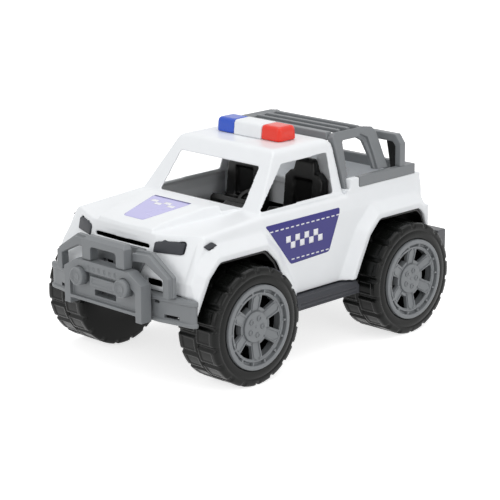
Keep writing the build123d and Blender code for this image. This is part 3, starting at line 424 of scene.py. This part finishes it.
def bar(shape, start, end, width, height, depth=0.6):
    """Adds a thin rib from one point to another on a face across X, in mm."""
    along = end - start
    side = Vector((0, -along.z, along.y)).normalized() * width / 2
    low = Vector((-depth, 0, 0))
    top = Vector((height, 0, 0))
    foot = [start - side, end - side, end + side, start + side]
    crown_side = side * RIB_TAPER
    crown = [start - crown_side, end - crown_side, end + crown_side, start + crown_side]
    stack(shape, ([point + low for point in foot], foot, [point + top for point in crown]))


def wheel_places():
    """Each wheel's name and the turn that puts a left wheel's shape in its place, in metres."""
    for end in ("front", "rear"):
        for side in ("left", "right"):
            name = end + "_" + side
            low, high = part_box("tyre_" + name)
            middle_y = (low[1] + high[1]) / 2
            turn = Matrix() if side == "left" else Matrix.Rotation(pi, 4, "Z")
            yield name, Matrix.Translation((0, middle_y, AXLE_Z * MM)) @ turn


def ramp(distance, edge, slope):
    """1 inside an edge, falling to 0 over a slope outside it."""
    return min(1.0, max(0.0, (edge + slope - abs(distance)) / slope))


def tread_relief(turn, x):
    """Height of the tread over its base, in mm: two staggered rows of framed blocks."""
    height = 0.0
    for side, first in ((-1, 0.0), (1, LUG_PITCH / 2)):
        row_x = TREAD_MIDDLE_X + side * ROW_WIDTH / 2
        away = (turn - first + LUG_PITCH / 2) % LUG_PITCH - LUG_PITCH / 2
        away_x = x - row_x
        block_x = ramp(away_x, ROW_WIDTH / 2 - BLOCK_SLOPE, BLOCK_SLOPE)
        block = ramp(away, LUG_HALF_TURN, BLOCK_SLOPE_TURN) * block_x
        inside_turn = ramp(away, LUG_HALF_TURN - FRAME_TURN, FRAME_SLOPE)
        inside_x = ramp(away_x, ROW_WIDTH / 2 - FRAME_WIDTH, FRAME_SLOPE)
        height = max(height, TREAD_RELIEF * block - FRAME_DEPTH * (inside_turn * inside_x))
    return height


def tyre_mesh():
    """Moulded tyre: smooth side, soft shoulder and low blocks, with a plain disc behind."""
    start_x = TREAD_MIDDLE_X - ROW_WIDTH
    end_x = TREAD_MIDDLE_X + ROW_WIDTH
    across = [start_x + x for x in ROW_STEPS] + [TREAD_MIDDLE_X + x for x in ROW_STEPS] + [end_x]
    turns = [LUG_PITCH * lug + degree for lug in range(LUG_COUNT) for degree in LUG_STEPS]
    shape = bmesh.new()
    rings = []
    for x, radius in TYRE_BACK + [(x, None) for x in across] + TYRE_SIDE:
        ring = []
        for turn in turns:
            shoulder = tread_relief(turn, min(max(x, start_x + SHOULDER_INSET), end_x - SHOULDER_INSET))
            if radius is None:
                on_edge = min(x - start_x, end_x - x) < TREAD_EDGE
                here = TREAD_BASE + (shoulder if on_edge else tread_relief(turn, x))
            elif radius > SHOULDER_RADIUS:
                here = radius + shoulder * (radius - SHOULDER_RADIUS) / (TREAD_BASE - SHOULDER_RADIUS)
            else:
                here = radius
            angle = radians(turn)
            ring.append(shape.verts.new(Vector((x, here * sin(angle), -here * cos(angle))) * MM))
        rings.append(ring)
    for near, far in zip(rings, rings[1:]):
        for step in range(len(turns)):
            beyond = (step + 1) % len(turns)
            shape.faces.new((near[step], near[beyond], far[beyond], far[step]))
    return finished("tyre", shape)


def web_x(radius):
    """Face of the wheel cap's web, which rises from the middle to the rim, in mm."""
    return WEB_MIDDLE_X + (WEB_RIM_X - WEB_MIDDLE_X) * (radius - DISC_RADIUS) / (WEB_RADIUS - DISC_RADIUS)


def on_web(radius, degrees_round, lift=0.0):
    """Point on the web's face."""
    angle = radians(degrees_round)
    return Vector((web_x(radius) + lift, radius * sin(angle), -radius * cos(angle)))


def web_mesh():
    """Web of the wheel cap with its six windows, as a sheet that gets its thickness later."""
    shape = bmesh.new()
    window = 360 / SPOKE_COUNT
    foot_turns = (-30, -23, -WINDOW_FOOT_TURN, -4, 4, WINDOW_FOOT_TURN, 23)
    head_turns = (-30, -25, -WINDOW_HEAD_TURN, -6, 6, WINDOW_HEAD_TURN, 25)
    rows = (
        (DISC_RADIUS - 1.5, foot_turns),
        (WINDOW_FOOT, foot_turns),
        (WINDOW_HEAD, head_turns),
        (WEB_RADIUS + 1.2, head_turns),
    )
    loops = []
    for radius, turns in rows:
        loops.append([
            shape.verts.new(on_web(radius, window * sector + turn + window / 2) * MM)
            for sector in range(SPOKE_COUNT)
            for turn in turns
        ])
    count = len(loops[0])
    per_window = count // SPOKE_COUNT
    for level, (near, far) in enumerate(zip(loops, loops[1:])):
        for step in range(count):
            if level == 1 and 2 <= step % per_window <= 4:
                continue
            beyond = (step + 1) % count
            shape.faces.new((near[step], near[beyond], far[beyond], far[step]))
    return finished("wheel cap web", shape, smooth=False)


def cap_rim_mesh():
    """Rim, channel, ribs, disc and bosses of the wheel cap."""
    shape = bmesh.new()
    face_x = HUB_FACE_X
    rim_x = WEB_RIM_X
    middle_x = WEB_MIDDLE_X
    lathe(shape, [
        (rim_x - 5, WEB_RADIUS), (rim_x, WEB_RADIUS), (rim_x + 0.5, WEB_RADIUS + 0.3),
        (rim_x + 0.8, WEB_RADIUS + 0.9), (rim_x + 0.8, WEB_RADIUS + 1.6), (rim_x + 0.4, WEB_RADIUS + 2.0),
        (face_x - 4.0, WEB_RADIUS + 2.3), (face_x - 4.3, WEB_RADIUS + 2.7),
        (face_x - 4.3, CHANNEL_RADIUS - 0.4), (face_x - 4.0, CHANNEL_RADIUS),
        (face_x - 0.5, CHANNEL_RADIUS + 0.2), (face_x - 0.1, CHANNEL_RADIUS + 0.6),
        (face_x, CHANNEL_RADIUS + 1.1), (face_x, HUB_RADIUS - 1.0),
        (face_x - 0.3, HUB_RADIUS - 0.3), (face_x - 1.0, HUB_RADIUS), (face_x - 12, HUB_RADIUS),
        (face_x - 12, WEB_RADIUS), (rim_x - 5, WEB_RADIUS),
    ], 96)
    lathe(shape, [
        (middle_x - 4, 0), (middle_x - 4, DISC_RADIUS - 1), (middle_x, DISC_RADIUS),
        (middle_x + 1.2, DISC_RADIUS - 0.1), (middle_x + 1.8, DISC_RADIUS - 0.6),
        (middle_x + 2.0, DISC_RADIUS - 1.4), (middle_x + 2.0, 1.6), (middle_x + 2.6, 1.1),
        (middle_x + 2.9, 0.5), (middle_x + 3.0, 0),
    ], 64)
    # Short ribs that part the channel into arcs
    for rib in range(CHANNEL_RIBS):
        angle = 2 * pi * (rib + 0.5) / CHANNEL_RIBS
        out = Vector((0, sin(angle), -cos(angle)))
        middle = Vector((face_x - 4.4, 0, 0))
        start = middle + out * (WEB_RADIUS + 1.8)
        end = middle + out * (CHANNEL_RADIUS + 0.6)
        bar(shape, start, end, 3.0, 3.4)
    # Ring bosses
    for boss in range(BOSS_COUNT):
        angle = 2 * pi * boss / BOSS_COUNT + BOSS_FIRST_TURN
        place = Matrix.Translation(Vector((0, BOSS_CIRCLE * sin(angle), -BOSS_CIRCLE * cos(angle))) * MM)
        top = middle_x + 2.0
        lathe(shape, [
            (top - 0.2, 2.9), (top + 0.7, 2.7), (top + 1.0, 2.4), (top + 1.0, 2.0), (top + 0.7, 1.7),
            (top + 0.15, 1.55), (top + 0.1, 0),
        ], 24, place)
    # A ridge on each side of every window, turning away from it at the rim
    for sector in range(SPOKE_COUNT):
        window = 360 / SPOKE_COUNT * (sector + 0.5)
        for side in (-1, 1):
            foot, knee, head = (on_web(radius, window + side * turn) for radius, turn in RIDGE_POINTS)
            bar(shape, foot, knee, RIDGE_WIDTH, RIDGE_HEIGHT)
            bar(shape, knee, head, RIDGE_WIDTH, RIDGE_HEIGHT)
        # Steps at the window's foot
        for step in range(FOOT_STEPS):
            radius = DISC_RADIUS + 1.4 + 1.3 * step
            left = on_web(radius, window - WINDOW_FOOT_TURN, -1.2 - 1.1 * step)
            right = on_web(radius, window + WINDOW_FOOT_TURN, -1.2 - 1.1 * step)
            bar(shape, left, right, 1.5, 0.8, depth=3.0)
    return finished("wheel cap", shape)


def wheels():
    """Detailed tyres and wheel caps in the places of the plain ones."""
    tyre = tyre_mesh()
    rim = cap_rim_mesh()
    web = web_mesh()
    sheet = bpy.data.objects.new("web sheet", web)
    bpy.context.collection.objects.link(sheet)
    thick = sheet.modifiers.new("thickness", "SOLIDIFY")
    thick.thickness = WEB_THICKNESS * MM
    thick.offset = -1
    edges = sheet.modifiers.new("round edges", "BEVEL")
    edges.width = 0.45 * MM
    edges.segments = 2
    edges.limit_method = "ANGLE"
    edges.angle_limit = EDGE_ANGLE
    apply_modifiers(sheet)
    cap = bmesh.new()
    cap.from_mesh(rim)
    cap.from_mesh(sheet.data)
    cap_mesh = bpy.data.meshes.new("wheel cap")
    cap.to_mesh(cap_mesh)
    cap.free()
    bpy.data.objects.remove(sheet)
    for name, place in wheel_places():
        body = "wheel_" + name
        for kind, mesh, finish in (
            ("tyre", tyre, "tyre_plastic"),
            ("hub", cap_mesh, "grey_plastic"),
        ):
            copy = mesh.copy()
            copy.transform(place)
            piece = add_piece(
                kind + "_" + name + "_shape", copy, MATERIALS[finish], body,
                (kind + "_" + name,),
            )
            if kind == "hub":
                smooth_by_angle(piece)


def smooth_by_angle(piece):
    """Smooth shading, with a crease where faces turn by more than the smooth angle."""
    shape = bmesh.new()
    shape.from_mesh(piece.data)
    for face in shape.faces:
        face.smooth = True
    for edge in shape.edges:
        edge.smooth = edge.calc_face_angle(0) < SMOOTH_ANGLE
    shape.to_mesh(piece.data)
    shape.free()


def body_surface():
    """Tree of the body shell's faces, to lay flat things on."""
    shape = bmesh.new()
    shape.from_mesh(frame["nodes"]["body_shell"].data)
    tree = BVHTree.FromBMesh(shape)
    shape.free()
    return tree


def rounded(outline, radius, steps=4):
    """Outline with its corners rounded, in mm."""
    points = []
    count = len(outline)
    for index, corner in enumerate(outline):
        here = Vector(corner)
        before = (Vector(outline[index - 1]) - here).normalized()
        after = (Vector(outline[(index + 1) % count]) - here).normalized()
        for step in range(steps + 1):
            share = step / steps
            points.append(tuple(here + before * radius * (1 - share) ** 2 + after * radius * share ** 2))
    return points


def film(name, outlines, project, lift, material):
    """Thin printed film that follows the body: flat outlines laid on it from one side."""
    shape = bmesh.new()
    for outline in outlines:
        verts = [shape.verts.new((u, v, 0)) for u, v in outline]
        shape.faces.new(verts)
    bmesh.ops.triangulate(shape, faces=shape.faces)
    for _ in range(5):
        long_edges = [edge for edge in shape.edges if edge.calc_length() > FILM_STEP]
        if not long_edges:
            break
        bmesh.ops.subdivide_edges(shape, edges=long_edges, cuts=1)
        bmesh.ops.triangulate(shape, faces=shape.faces)
    for vert in shape.verts:
        vert.co = project(vert.co.x, vert.co.y, lift)
    piece = add_piece(name, finished(name, shape), material)
    thick = piece.modifiers.new("thickness", "SOLIDIFY")
    thick.thickness = FILM_THICKNESS * MM
    thick.offset = 0


def side_projection(tree, side):
    """Lays a point of the side view, in mm, on the body's left or right side."""
    def project(y, z, lift):
        hit, normal, _, _ = tree.ray_cast(Vector((side * 0.2, y * MM, z * MM)), Vector((-side, 0, 0)))
        return hit + normal * lift * MM
    return project


def top_projection(tree):
    """Lays a point of the top view, in mm, on the hood."""
    def project(x, y, lift):
        hit, normal, _, _ = tree.ray_cast(Vector((x * MM, y * MM, 0.3)), Vector((0, 0, -1)))
        return hit + normal * lift * MM
    return project


def rectangle(middle_u, middle_v, width, height):
    """Outline of an upright bar."""
    half_w, half_h = width / 2, height / 2
    return [
        (middle_u - half_w, middle_v - half_h), (middle_u + half_w, middle_v - half_h),
        (middle_u + half_w, middle_v + half_h), (middle_u - half_w, middle_v + half_h),
    ]


def decals():
    """Printed panels on the doors and the hood, with plain dashes and a chequer."""
    tree = body_surface()
    blue, lilac, white = (MATERIALS[name] for name in ("panel_print", "lilac_print", "white_print"))
    for side, name in ((1, "left"), (-1, "right")):
        project = side_projection(tree, side)
        door = rounded(DOOR_PANEL, PANEL_CORNER)
        film("door_panel_" + name, [door], project, PANEL_LIFT, blue)
        marks = []
        for count, start, step, height, length in DASH_ROWS:
            for dash in range(count):
                marks.append(rectangle(start + step * dash, height, length, DASH_HEIGHT))
        for column in range(CHEQUER_COLUMNS):
            for row in range(2):
                if (column + row) % 2 == 0:
                    y = CHEQUER_START[0] + CHEQUER_STEP * column
                    z = CHEQUER_START[1] - CHEQUER_STEP * row
                    marks.append(rectangle(y, z, CHEQUER_SIDE, CHEQUER_SIDE))
        film("door_marks_" + name, marks, project, DOOR_MARK_LIFT, white)
    project = top_projection(tree)
    hood = rounded(HOOD_PANEL, PANEL_CORNER)
    film("hood_panel", [hood], project, PANEL_LIFT, lilac)
    marks = []
    for column in range(HOOD_MARKS):
        x = HOOD_MARK_START[0] + HOOD_MARK_STEP[0] * column
        y = HOOD_MARK_START[1] - HOOD_MARK_STEP[1] * (column % 2)
        marks.append(rectangle(x, y, *HOOD_MARK_SIZE))
    film("hood_marks", marks, project, HOOD_MARK_LIFT, white)
    edge = rectangle(*HOOD_EDGE_LINE)
    film("hood_edge_line", [edge], project, HOOD_MARK_LIFT, blue)


def dress_nodes():
    """Finish and rounded edges for every piece of the frame that stays."""
    for name, piece in frame["nodes"].items():
        piece.data.materials.clear()
        piece.data.materials.append(MATERIALS[SLOT_OF[name]])
        if name not in MELTED and not name.startswith(RESHAPED):
            round_edges(piece, EDGE_RADIUS)


def prism(shape, outline, start_x, end_x):
    """Adds an outline of the side view, in mm, drawn out across the car."""
    stack(shape, [[(x, y, z) for y, z in outline] for x in (start_x, end_x)])


def body_additions(shape):
    """Quarter panels behind the rear wheels, and the cowl between hood and windscreen."""
    for side in (1, -1):
        prism(shape, REAR_QUARTER, side * WELL_WALL_X, side * QUARTER_X)
    prism(shape, COWL, -COWL_HALF_WIDTH, COWL_HALF_WIDTH)


def melt_mouldings():
    """Soft-edged versions of the mouldings."""
    for name, (voxel, passes, triangles) in MELTED.items():
        mesh = frame["nodes"][name].data.copy()
        if name == "body_shell":
            whole = bmesh.new()
            whole.from_mesh(mesh)
            body_additions(whole)
            mesh = finished(name, whole)
        piece = add_piece(name + "_shape", mesh, MATERIALS[SLOT_OF[name]], "root", (name,))
        soften(piece, voxel * MM, passes, triangles)


def well_liners():
    """Black liners in front of the rear quarter panels."""
    shape = bmesh.new()
    for side in (1, -1):
        prism(shape, REAR_LINER, side * WELL_WALL_X, side * LINER_X)
    mesh = finished("well_liners", shape, smooth=False)
    add_piece("well_liners", mesh, MATERIALS["black_plastic"])


def block_by_levels(name, plan, levels, finish, stands_for):
    """Solid through one plan at several heights, each drawn in by its own inset, in mm."""
    shape = bmesh.new()
    rings = []
    for z, inset in levels:
        ring = []
        for index, corner in enumerate(plan):
            along = Vector(plan[(index + 1) % len(plan)]) - Vector(plan[index - 1])
            along.normalize()
            ring.append((corner[0] - along.y * inset, corner[1] + along.x * inset, z))
        rings.append(ring)
    stack(shape, rings)
    return add_piece(name, finished(name, shape), MATERIALS[finish], "root", stands_for)


def cut_boxes(piece, boxes):
    """Cuts boxes, given by their middles and sizes in mm, out of a piece."""
    shape = bmesh.new()
    for middle, size in boxes:
        place = Matrix.Translation(Vector(middle) * MM) @ Matrix.Diagonal((*(Vector(size) * MM), 1))
        bmesh.ops.create_cube(shape, size=1, matrix=place)
    cutter = bpy.data.objects.new("cutter", finished("cutter", shape, smooth=False))
    bpy.context.collection.objects.link(cutter)
    cut = piece.modifiers.new("openings", "BOOLEAN")
    cut.operation = "DIFFERENCE"
    cut.solver = "EXACT"
    cut.object = cutter
    apply_modifiers(piece)
    bpy.data.objects.remove(cutter)


def opening(box, face_y, side=1):
    """A bumper's opening put at its face, on the left or right side."""
    (x, y, z), size = box
    return (side * x, face_y + y, z), size


def bumpers():
    """Front bumper with its turned-back ends, and the square-ended rear one."""
    front_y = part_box("guard_arch")[1][1] / MM
    back_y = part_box("bumper_front")[1][1] / MM
    corner_x = BUMPER_CORNER[0]
    corner_y = front_y + BUMPER_CORNER[1]
    reach = BUMPER_END_X - corner_x
    depth = back_y - 2 - corner_y
    half = [(x, front_y + setback) for x, setback in (BUMPER_STEP, BUMPER_KNEE)]
    turns = [radians(angle) for angle in range(0, 91, 15)]
    corner = [(corner_x + reach * sin(turn), corner_y + depth * (1 - cos(turn))) for turn in turns]
    left = half + corner + [(BUMPER_END_X, back_y - 1.2), (BUMPER_END_X - 1.2, back_y)]
    plan = [(-x, y) for x, y in reversed(left)] + left
    front = block_by_levels(
        "bumper_front_shape", plan, BUMPER_LEVELS, "grey_plastic", ("bumper_front",),
    )
    cut_boxes(front, [opening(BUMPER_HOLLOW, front_y)])
    cut_boxes(front, [opening(slot, front_y, side) for side in (1, -1) for slot in BUMPER_SLOTS])
    round_edges(front, BUMPER_EDGE)
    low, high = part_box("bumper_rear")
    rear_y, end_y = low[1] / MM, high[1] / MM
    back_y = rear_y + REAR_BUMPER_DEPTH
    left = [
        (62, rear_y), (66, back_y), (REAR_BUMPER_END_X, back_y), (REAR_BUMPER_END_X, end_y - 1),
        (REAR_BUMPER_END_X - 1, end_y),
    ]
    plan = [(-x, y) for x, y in reversed(left)] + left
    # The rear bumper takes a darker copy of the grey plastic: painted shade
    rear = block_by_levels(
        "bumper_rear_shape", plan, REAR_BUMPER_LEVELS, "bumper_grey_painted_shade",
        ("bumper_rear",),
    )
    cut_boxes(rear, [opening(REAR_BUMPER_STEP, rear_y)])
    round_edges(rear, BUMPER_EDGE)


def headlights():
    """Dark headlights: rounded blocks with a small bump on top near the inner end."""
    outline = rounded(HEADLIGHT, HEADLIGHT_CORNER)
    middle_x, middle_z = HEADLIGHT_MIDDLE
    half_x, half_z = HEADLIGHT_HALF
    start_x, start_z, start_back = NOSE_START
    for side, name in ((1, "left"), (-1, "right")):
        shape = bmesh.new()
        rings = []
        for proud, shrink in HEADLIGHT_LEVELS:
            ring = []
            for x, z in outline:
                drawn_x = middle_x + (x - middle_x) * (1 - shrink / half_x)
                drawn_z = middle_z + (z - middle_z) * (1 - shrink / half_z)
                sweep = (drawn_x - start_x) * NOSE_SWEEP / NOSE_SWEEP_WIDTH
                surface = NOSE_Y + start_back + sweep + (drawn_z - start_z) * NOSE_LEAN
                ring.append((side * drawn_x, surface - proud, drawn_z))
            rings.append(ring)
        stack(shape, rings)
        add_piece(
            "headlight_" + name + "_shape", finished("headlight", shape), MATERIALS["dark_grey_plastic"],
            "root", ("headlight_" + name,),
        )


def lamps():
    """Round guard lamps with a raised rim, a dished face and a small inner ring."""
    low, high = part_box("guard_lamps")
    front_y = low[1] / MM
    back_y = high[1] / MM
    depth = back_y - front_y
    shape = bmesh.new()
    for side in (1, -1):
        middle_x = side * ((high[0] / MM) - LAMP_RADIUS)
        middle_z = (low[2] + high[2]) / 2 / MM
        middle = Vector((middle_x, back_y, middle_z)) * MM
        place = Matrix.Translation(middle) @ Matrix.Rotation(-pi / 2, 4, "Z")
        lathe(shape, [
            (0, 0), (0, LAMP_RADIUS), (depth - 2.2, LAMP_RADIUS), (depth - 0.9, 8.8), (depth - 0.2, 8.2),
            (depth, 7.5), (depth - 0.1, 7.0), (depth - 0.9, 6.6), (depth - 1.2, 6.0), (depth - 1.2, 4.4),
            (depth - 0.7, 4.0), (depth - 0.6, 3.4), (depth - 1.1, 3.0), (depth - 1.0, 1.5), (depth - 0.9, 0),
        ], 48, place)
    mesh = finished("guard_lamps", shape)
    add_piece(
        "guard_lamps_shape", mesh, MATERIALS["grey_plastic"], "root", ("guard_lamps",),
    )


def backdrop_rays(nodes, links):
    """Output that is 1 for camera, glossy and transmission rays, which see the white backdrop."""
    path = nodes.new("ShaderNodeLightPath")
    seen = path.outputs["Is Camera Ray"]
    for kind in ("Is Glossy Ray", "Is Transmission Ray"):
        either = nodes.new("ShaderNodeMath")
        either.operation = "MAXIMUM"
        links.new(seen, either.inputs[0])
        links.new(path.outputs[kind], either.inputs[1])
        seen = either.outputs[0]
    return seen


def floor():
    """Pale floor that shows white and keeps the soft shadow."""
    bpy.ops.mesh.primitive_plane_add(size=30)
    ground = bpy.context.object
    ground.name = "floor"
    material = bpy.data.materials.new("floor")
    material.use_nodes = True
    nodes = material.node_tree.nodes
    links = material.node_tree.links
    nodes.clear()
    out = nodes.new("ShaderNodeOutputMaterial")
    matte = nodes.new("ShaderNodeBsdfDiffuse")
    matte.inputs["Color"].default_value = (FLOOR_WHITE, FLOOR_WHITE, FLOOR_WHITE, 1)
    glow = nodes.new("ShaderNodeEmission")
    glow.inputs["Color"].default_value = (1, 1, 1, 1)
    seen = backdrop_rays(nodes, links)
    level = nodes.new("ShaderNodeMath")
    level.operation = "MULTIPLY"
    level.inputs[1].default_value = FLOOR_GLOW
    links.new(seen, level.inputs[0])
    links.new(level.outputs[0], glow.inputs["Strength"])
    both = nodes.new("ShaderNodeAddShader")
    links.new(matte.outputs[0], both.inputs[0])
    links.new(glow.outputs[0], both.inputs[1])
    links.new(both.outputs[0], out.inputs["Surface"])
    ground.data.materials.append(material)


def world():
    """Soft pale surroundings that show white behind the car."""
    scene_world = bpy.data.worlds.new("studio")
    bpy.context.scene.world = scene_world
    scene_world.use_nodes = True
    nodes = scene_world.node_tree.nodes
    links = scene_world.node_tree.links
    back = nodes["Background"]
    back.inputs["Color"].default_value = (1, 1, 1, 1)
    level = nodes.new("ShaderNodeMapRange")
    level.inputs["To Min"].default_value = WORLD_LEVEL
    level.inputs["To Max"].default_value = 1.0
    links.new(backdrop_rays(nodes, links), level.inputs["Value"])
    links.new(level.outputs["Result"], back.inputs["Strength"])


def area_light(name, place, target, size, power):
    """Soft box that faces a target."""
    lamp = bpy.data.lights.new(name, "AREA")
    lamp.shape = "RECTANGLE"
    lamp.size = size[0]
    lamp.size_y = size[1]
    lamp.energy = power
    holder = bpy.data.objects.new(name, lamp)
    bpy.context.collection.objects.link(holder)
    holder.location = place
    holder.rotation_euler = (Vector(target) - Vector(place)).to_track_quat("-Z", "Y").to_euler()


def lights():
    """Light tent: a wide top light, a key from the camera's left and a fill from its right."""
    middle = (0, 0, 0.1)
    for name, place, size, power in LAMPS:
        area_light(name, place, middle, size, power)


def camera():
    """The photograph's camera."""
    azimuth, elevation, roll = (radians(angle) for angle in CAMERA_TURNS)
    back = Vector((sin(azimuth) * cos(elevation), -cos(azimuth) * cos(elevation), sin(elevation)))
    level_right = Vector((cos(azimuth), sin(azimuth), 0))
    level_up = back.cross(level_right)
    right = cos(roll) * level_right + sin(roll) * level_up
    up = cos(roll) * level_up - sin(roll) * level_right
    data = bpy.data.cameras.new("camera")
    data.sensor_width = SENSOR_WIDTH
    data.lens = SENSOR_WIDTH * FOCAL_PIXELS / PHOTO_PIXELS
    holder = bpy.data.objects.new("camera", data)
    bpy.context.collection.objects.link(holder)
    turn = Matrix((right, up, back)).transposed().to_4x4()
    holder.matrix_world = Matrix.Translation(CAMERA_PLACE) @ turn
    bpy.context.scene.camera = holder


dress_nodes()
melt_mouldings()
well_liners()
bumpers()
headlights()
lamps()
wheels()
decals()
floor()
world()
lights()
camera()
bpy.context.scene.view_settings.view_transform = "Standard"
